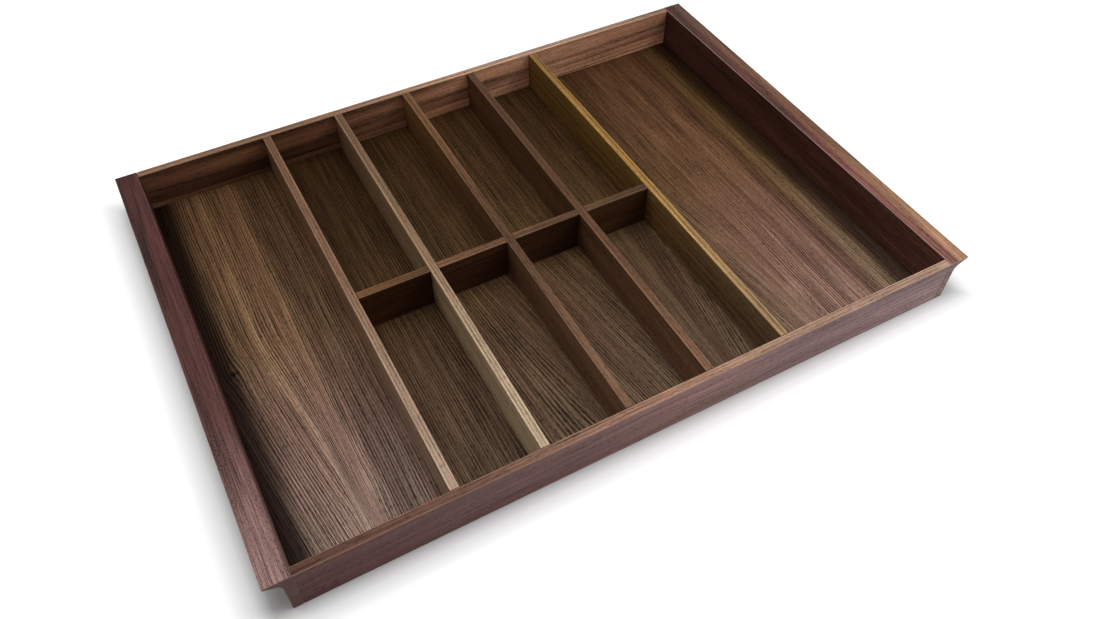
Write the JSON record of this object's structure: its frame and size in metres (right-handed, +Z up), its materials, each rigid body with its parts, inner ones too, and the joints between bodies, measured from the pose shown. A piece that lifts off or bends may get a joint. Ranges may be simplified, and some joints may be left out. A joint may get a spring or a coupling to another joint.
{
  "type": "cutlery drawer insert",
  "caption": "Low walnut tray that lies in a kitchen drawer, with lipped side rails and upright dividers that part it into wide and narrow cutlery bays.",
  "frame": {"origin": "centre of the tray on the plane that it rests on", "axes": "+X runs across the drawer towards the widest bay, +Y from the front rail to the back rail, +Z up out of the open bays"},
  "size_m": [0.68, 0.488, 0.048],
  "materials": {
    "walnut_left_rail": "satin clear lacquer",
    "walnut_right_rail": "satin clear lacquer",
    "walnut_front_rail": "satin clear lacquer",
    "walnut_back_rail": "satin clear lacquer",
    "walnut_pale_divider": "satin clear lacquer",
    "walnut_red_divider": "satin clear lacquer",
    "walnut_sapwood_divider": "satin clear lacquer",
    "walnut_cross_board": "satin clear lacquer",
    "walnut_veneer_base": "satin clear lacquer",
    "beech_dowel": "bare, glued in"
  },
  "bodies": {
    "root": {"left_side_rail": "walnut_left_rail", "right_side_rail": "walnut_right_rail", "front_rail": "walnut_front_rail", "back_rail": "walnut_back_rail", "base_panel": "walnut_veneer_base", "long_divider_1": "walnut_pale_divider", "long_divider_2": "walnut_pale_divider", "long_divider_3": "walnut_red_divider", "long_divider_4": "walnut_red_divider", "long_divider_5": "walnut_sapwood_divider", "cross_board_1": "walnut_cross_board", "cross_board_2": "walnut_cross_board", "cross_board_3": "walnut_cross_board", "cross_board_4": "walnut_cross_board", "corner_dowel_front_left_lower": "beech_dowel", "corner_dowel_front_left_upper": "beech_dowel", "corner_dowel_front_right_lower": "beech_dowel", "corner_dowel_front_right_upper": "beech_dowel", "corner_dowel_back_left_lower": "beech_dowel", "corner_dowel_back_left_upper": "beech_dowel", "corner_dowel_back_right_lower": "beech_dowel", "corner_dowel_back_right_upper": "beech_dowel", "divider_dowel_1_front": "beech_dowel", "divider_dowel_1_back": "beech_dowel", "divider_dowel_2_front": "beech_dowel", "divider_dowel_2_back": "beech_dowel", "divider_dowel_3_front": "beech_dowel", "divider_dowel_3_back": "beech_dowel", "divider_dowel_4_front": "beech_dowel", "divider_dowel_4_back": "beech_dowel", "divider_dowel_5_front": "beech_dowel", "divider_dowel_5_back": "beech_dowel", "cross_dowel_1": "beech_dowel", "cross_dowel_2": "beech_dowel", "cross_dowel_3": "beech_dowel", "cross_dowel_4": "beech_dowel", "cross_dowel_5": "beech_dowel"}
  },
  "joints": []
}
